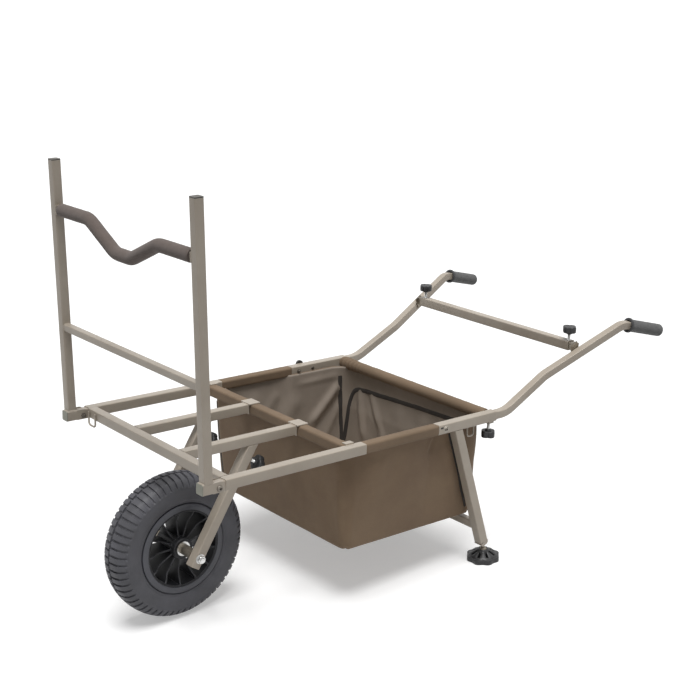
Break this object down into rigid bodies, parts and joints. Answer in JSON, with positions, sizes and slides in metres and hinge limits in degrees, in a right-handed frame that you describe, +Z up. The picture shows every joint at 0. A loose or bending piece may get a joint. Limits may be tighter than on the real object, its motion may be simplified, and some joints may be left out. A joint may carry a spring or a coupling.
{
  "type": "fishing trolley",
  "caption": "Single-wheel fishing trolley with a tubular deck, a fold-down front panel with a rod rest, a hung fabric tub, leaning rear legs with mud feet and pull-out handles.",
  "frame": {"origin": "centre of the footprint, on the ground", "axes": "+X from the front panel to the handles, +Z up, +Y to the right of the person at the handles"},
  "size_m": [1.5266, 0.748, 1.0757],
  "materials": {
    "paint": "satin",
    "zinc": "bright zinc plate",
    "black_plastic": "matte",
    "trim_plastic": "matte",
    "bolts": "dark burnished",
    "tyre": "matte",
    "rim": "satin",
    "rest_foam": "soft foam",
    "grip_foam": "soft foam",
    "fabric": "woven"
  },
  "bodies": {
    "frame": {"left_rail": "paint", "right_rail": "paint", "front_crossbar": "paint", "left_mid_bar": "paint", "right_mid_bar": "paint", "rear_deck_crossbar": "paint", "left_side_tube": "paint", "right_side_tube": "paint", "left_rear_sleeve": "paint", "right_rear_sleeve": "paint", "rear_crossbar": "paint", "left_leg": "paint", "right_leg": "paint", "leg_brace": "paint", "left_front_loop": "paint", "right_front_loop": "paint", "left_rear_loop": "paint", "right_rear_loop": "paint", "tub": "fabric", "left_pivot_bolt": "bolts", "right_pivot_bolt": "bolts", "left_sleeve_bolt": "bolts", "right_sleeve_bolt": "bolts", "left_foot_stud": "zinc", "right_foot_stud": "zinc"},
    "front_panel": {"left_upright": "paint", "right_upright": "paint", "panel_crossbar": "paint", "rod_rest_bar": "paint", "left_upright_cap": "trim_plastic", "right_upright_cap": "trim_plastic", "left_foot_plug": "trim_plastic", "right_foot_plug": "trim_plastic", "rod_rest_foam": "rest_foam"},
    "fork": {"left_fork_strut": "paint", "right_fork_strut": "paint", "axle": "zinc", "axle_nut": "zinc", "left_axle_spacer": "zinc", "right_axle_spacer": "zinc"},
    "wheel": {"tyre": "tyre", "rim": "rim", "left_hub_bush": "zinc", "right_hub_bush": "zinc"},
    "handles": {"left_handle": "paint", "right_handle": "paint", "handle_brace": "paint", "left_grip": "grip_foam", "right_grip": "grip_foam", "left_brace_bracket": "zinc", "right_brace_bracket": "zinc"},
    "left_handle_knob": {"left_handle_knob": "black_plastic"},
    "left_fork_knob": {"left_fork_knob": "black_plastic"},
    "left_brace_knob": {"left_brace_knob": "black_plastic"},
    "left_foot_pad": {"left_foot_pad": "black_plastic"},
    "right_handle_knob": {"right_handle_knob": "black_plastic"},
    "right_fork_knob": {"right_fork_knob": "black_plastic"},
    "right_brace_knob": {"right_brace_knob": "black_plastic"},
    "right_foot_pad": {"right_foot_pad": "black_plastic"}
  },
  "joints": [
    {"name": "panel_fold", "type": "hinge", "parent": "frame", "child": "front_panel", "pos_m": [-0.64968, 0, 0.44158], "axis": [0, 1, 0], "range_deg": [0, 92.3]},
    {"name": "fork_slide", "type": "slide", "parent": "frame", "child": "fork", "axis": [-0.5681, 0, -0.823], "range_m": [0, 0.05]},
    {"name": "wheel_spin", "type": "hinge", "parent": "fork", "child": "wheel", "pos_m": [-0.58534, 0, 0.1785], "axis": [0, 1, 0], "continuous": true},
    {"name": "handle_slide", "type": "slide", "parent": "frame", "child": "handles", "axis": [0.998, 0, -0.0631], "range_m": [0, 0.08]},
    {"name": "left_handle_knob_turn", "type": "hinge", "parent": "frame", "child": "left_handle_knob", "pos_m": [0.17105, -0.2955, 0.34794], "axis": [-0.0631, 0, -0.998], "continuous": true},
    {"name": "left_fork_knob_turn", "type": "hinge", "parent": "fork", "child": "left_fork_knob", "pos_m": [-0.40454, -0.0983, 0.3665], "axis": [0.823, 0, -0.5681], "continuous": true},
    {"name": "left_brace_knob_turn", "type": "hinge", "parent": "handles", "child": "left_brace_knob", "pos_m": [0.48632, -0.278, 0.54846], "axis": [0.0631, 0, 0.998], "continuous": true},
    {"name": "left_foot_swivel", "type": "hinge", "parent": "frame", "child": "left_foot_pad", "pos_m": [0.15934, -0.2955, 0.026], "axis": [0, 1, 0], "range_deg": [-12, 12]},
    {"name": "right_handle_knob_turn", "type": "hinge", "parent": "frame", "child": "right_handle_knob", "pos_m": [0.17105, 0.2955, 0.34794], "axis": [-0.0631, 0, -0.998], "continuous": true},
    {"name": "right_fork_knob_turn", "type": "hinge", "parent": "fork", "child": "right_fork_knob", "pos_m": [-0.40454, 0.0983, 0.3665], "axis": [0.823, 0, -0.5681], "continuous": true},
    {"name": "right_brace_knob_turn", "type": "hinge", "parent": "handles", "child": "right_brace_knob", "pos_m": [0.48632, 0.278, 0.54846], "axis": [0.0631, 0, 0.998], "continuous": true},
    {"name": "right_foot_swivel", "type": "hinge", "parent": "frame", "child": "right_foot_pad", "pos_m": [0.15934, 0.2955, 0.026], "axis": [0, 1, 0], "range_deg": [-12, 12]}
  ]
}
